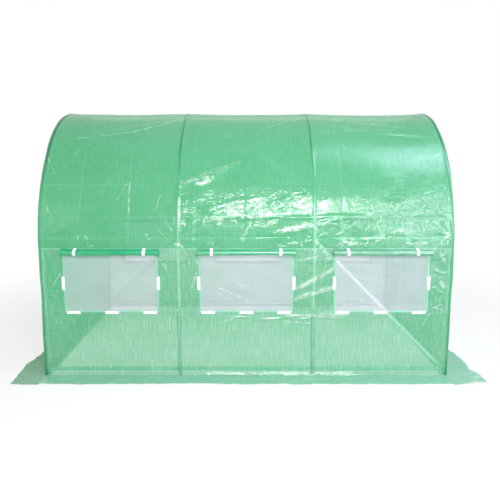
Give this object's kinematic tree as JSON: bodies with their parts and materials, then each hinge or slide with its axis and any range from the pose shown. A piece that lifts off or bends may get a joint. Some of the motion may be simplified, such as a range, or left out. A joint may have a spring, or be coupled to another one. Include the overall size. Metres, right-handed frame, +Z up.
{
  "type": "polytunnel greenhouse",
  "caption": "Walk-in arched polytunnel greenhouse: galvanised hoop frame under a green sheet cover with meshed roll-up windows, ground skirts and a zipped end door.",
  "frame": {"origin": "on the ground under the middle of the tunnel, the bottom centre of its outline", "axes": "+X along the tunnel towards the door end, -Y towards the pictured long side, +Z up"},
  "size_m": [3.43, 2.37, 1.9798],
  "materials": {
    "green_sheet": "translucent reinforced film, glossy and creased",
    "rolled_sheet": "the same film in many layers",
    "insect_mesh": "fine woven net",
    "white_tape": "woven tape",
    "zip_tape": "zip with its tape",
    "galvanised_tube": "galvanised, satin"
  },
  "bodies": {
    "root": {"back_base_rails": "galvanised_tube", "back_brace": "galvanised_tube", "back_centre_flap_roll": "rolled_sheet", "back_centre_window_mesh": "insect_mesh", "back_flap_ties": "white_tape", "back_hoop_crowns": "galvanised_tube", "back_hoop_legs": "galvanised_tube", "back_hoop_shoulders": "galvanised_tube", "back_left_flap_roll": "rolled_sheet", "back_left_window_mesh": "insect_mesh", "back_right_flap_roll": "rolled_sheet", "back_right_window_mesh": "insect_mesh", "back_side_purlins": "galvanised_tube", "back_skirt": "green_sheet", "back_touch_patches": "white_tape", "back_wall_sheet": "green_sheet", "door_panel": "green_sheet", "door_zips": "zip_tape", "front_base_rails": "galvanised_tube", "front_brace": "galvanised_tube", "front_centre_flap_roll": "rolled_sheet", "front_centre_window_mesh": "insect_mesh", "front_flap_ties": "white_tape", "front_hoop_crowns": "galvanised_tube", "front_hoop_legs": "galvanised_tube", "front_hoop_shoulders": "galvanised_tube", "front_left_flap_roll": "rolled_sheet", "front_left_window_mesh": "insect_mesh", "front_right_flap_roll": "rolled_sheet", "front_right_window_mesh": "insect_mesh", "front_side_purlins": "galvanised_tube", "front_skirt": "green_sheet", "front_touch_patches": "white_tape", "front_wall_sheet": "green_sheet", "left_end_rail": "galvanised_tube", "left_end_sheet": "green_sheet", "left_skirt": "green_sheet", "ridge_purlins": "galvanised_tube", "right_end_rail": "galvanised_tube", "right_end_sheet": "green_sheet", "right_skirt": "green_sheet", "roof_sheet": "green_sheet"}
  },
  "joints": []
}
